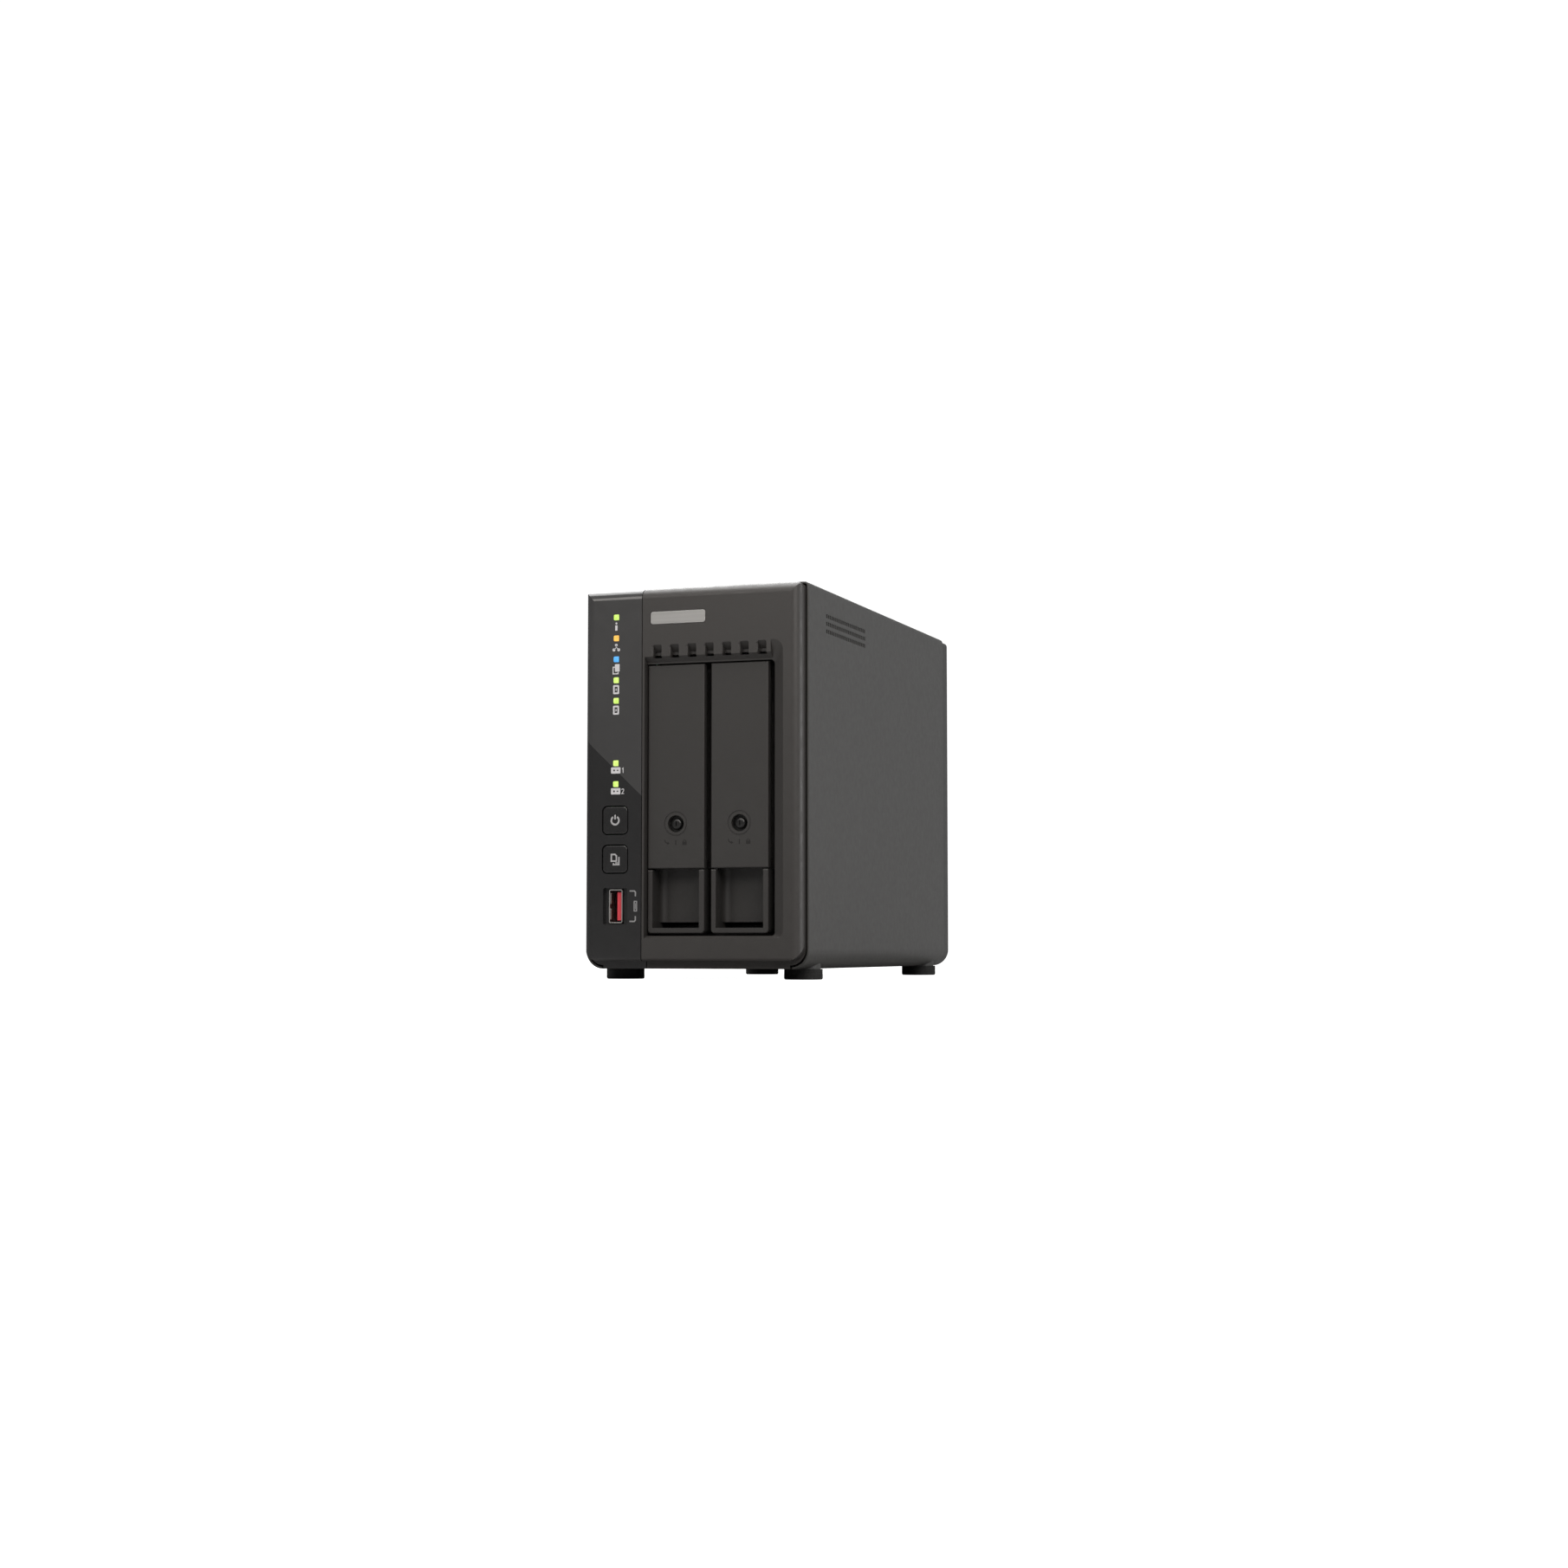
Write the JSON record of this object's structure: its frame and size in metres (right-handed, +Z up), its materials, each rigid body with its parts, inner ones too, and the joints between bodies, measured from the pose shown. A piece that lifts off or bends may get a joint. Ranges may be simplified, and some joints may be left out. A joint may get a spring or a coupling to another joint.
{
  "type": "network attached storage",
  "caption": "Desktop network storage tower: dark steel box on rubber feet, glossy side panel with lights, buttons and USB, lockable drive trays, rear fan and ports.",
  "frame": {"origin": "bottom centre of the bounding box, on the surface that the feet stand on", "axes": "-Y out of the front, +X to the right seen from the front, +Z up"},
  "size_m": [0.102, 0.225, 0.1685],
  "materials": {
    "cover_paint": "fine textured powder coat",
    "rear_paint": "fine textured powder coat",
    "bezel_plastic": "fine moulded texture, satin",
    "panel_gloss": "high gloss",
    "button_gloss": "high gloss",
    "handle_plastic": "fine moulded texture, satin",
    "tray_plastic": "fine moulded texture, satin",
    "lock_black": "black, satin",
    "foot_rubber": "matt",
    "light_green": "lit light pipe",
    "light_orange": "lit light pipe",
    "light_blue": "lit light pipe",
    "badge_metal": "satin",
    "port_steel": "bright plated sheet",
    "screw_steel": "plated",
    "zinc_steel": "zinc-plated sheet",
    "sink_aluminium": "extruded, bare",
    "standoff_brass": "turned",
    "usb_red": "satin",
    "usb_blue": "satin",
    "board_green": "solder resist",
    "chip_black": "moulded",
    "connector_black": "satin",
    "ribbon_grey": "flat cable jacket",
    "fan_black": "satin",
    "drive_cast": "cast and machined"
  },
  "bodies": {
    "chassis": {"top_cover": "cover_paint", "base_pan": "cover_paint", "rubber_feet": "foot_rubber", "front_bezel": "bezel_plastic", "control_panel": "panel_gloss", "green_light_pipes": "light_green", "orange_light_pipe": "light_orange", "blue_light_pipe": "light_blue", "name_badge": "badge_metal", "front_usb_shell": "port_steel", "front_usb_tongue": "usb_red", "front_board": "board_green", "front_switches": "chip_black", "ribbon_cable": "ribbon_grey", "ribbon_headers": "connector_black", "rear_panel": "rear_paint", "fan_frame": "fan_black", "fan_screws": "screw_steel", "cover_screws": "screw_steel", "drive_cage": "zinc_steel", "cage_screws": "screw_steel", "upper_tray_guide": "tray_plastic", "lower_tray_guide": "tray_plastic", "backplane_board": "board_green", "sata_sockets": "connector_black", "backplane_connector": "connector_black", "main_board": "board_green", "board_standoffs": "standoff_brass", "board_screws": "screw_steel", "heat_sink": "sink_aluminium", "memory_socket": "connector_black", "memory_module": "board_green", "coin_cell": "port_steel", "coin_cell_holder": "connector_black", "board_chips": "chip_black", "board_capacitors": "sink_aluminium", "lan_jacks": "port_steel", "rear_usb_shells": "port_steel", "rear_usb_tongues": "usb_blue", "hdmi_socket": "port_steel", "dc_jack": "connector_black", "dc_jack_pin": "port_steel"},
    "power_button": {"power_button": "button_gloss"},
    "copy_button": {"copy_button": "button_gloss"},
    "reset_button": {"reset_button": "connector_black"},
    "fan_rotor": {"fan_rotor": "fan_black"},
    "tray_1": {"tray_1_frame": "tray_plastic", "tray_1_pin": "screw_steel", "drive_1_body": "drive_cast", "drive_1_board": "board_green", "drive_1_screws": "screw_steel"},
    "handle_1": {"tray_1_handle": "handle_plastic"},
    "lock_1": {"tray_1_lock": "lock_black"},
    "tray_2": {"tray_2_frame": "tray_plastic", "tray_2_pin": "screw_steel", "drive_2_body": "drive_cast", "drive_2_board": "board_green", "drive_2_screws": "screw_steel"},
    "handle_2": {"tray_2_handle": "handle_plastic"},
    "lock_2": {"tray_2_lock": "lock_black"}
  },
  "joints": [
    {"name": "tray_1_slide", "type": "slide", "parent": "chassis", "child": "tray_1", "axis": [0, -1, 0], "range_m": [0, 0.16]},
    {"name": "handle_1_hinge", "type": "hinge", "parent": "tray_1", "child": "handle_1", "pos_m": [-0.0079, -0.1035, 0.131], "axis": [-1, 0, 0], "range_deg": [0, 70]},
    {"name": "lock_1_turn", "type": "hinge", "parent": "handle_1", "child": "lock_1", "pos_m": [-0.0079, -0.1095, 0.0664], "axis": [0, -1, 0], "range_deg": [0, 90]},
    {"name": "tray_2_slide", "type": "slide", "parent": "chassis", "child": "tray_2", "axis": [0, -1, 0], "range_m": [0, 0.16]},
    {"name": "handle_2_hinge", "type": "hinge", "parent": "tray_2", "child": "handle_2", "pos_m": [0.0211, -0.1035, 0.131], "axis": [-1, 0, 0], "range_deg": [0, 70]},
    {"name": "lock_2_turn", "type": "hinge", "parent": "handle_2", "child": "lock_2", "pos_m": [0.0211, -0.1095, 0.0664], "axis": [0, -1, 0], "range_deg": [0, 90]},
    {"name": "power_button_press", "type": "slide", "parent": "chassis", "child": "power_button", "axis": [0, 1, 0], "range_m": [0, 0.001], "stiffness_N_per_m": 800},
    {"name": "copy_button_press", "type": "slide", "parent": "chassis", "child": "copy_button", "axis": [0, 1, 0], "range_m": [0, 0.001], "stiffness_N_per_m": 800},
    {"name": "reset_button_press", "type": "slide", "parent": "chassis", "child": "reset_button", "axis": [0, -1, 0], "range_m": [0, 0.0005], "stiffness_N_per_m": 1000},
    {"name": "fan_spin", "type": "hinge", "parent": "chassis", "child": "fan_rotor", "pos_m": [0.009, 0.098, 0.088], "axis": [0, 1, 0], "continuous": true}
  ]
}
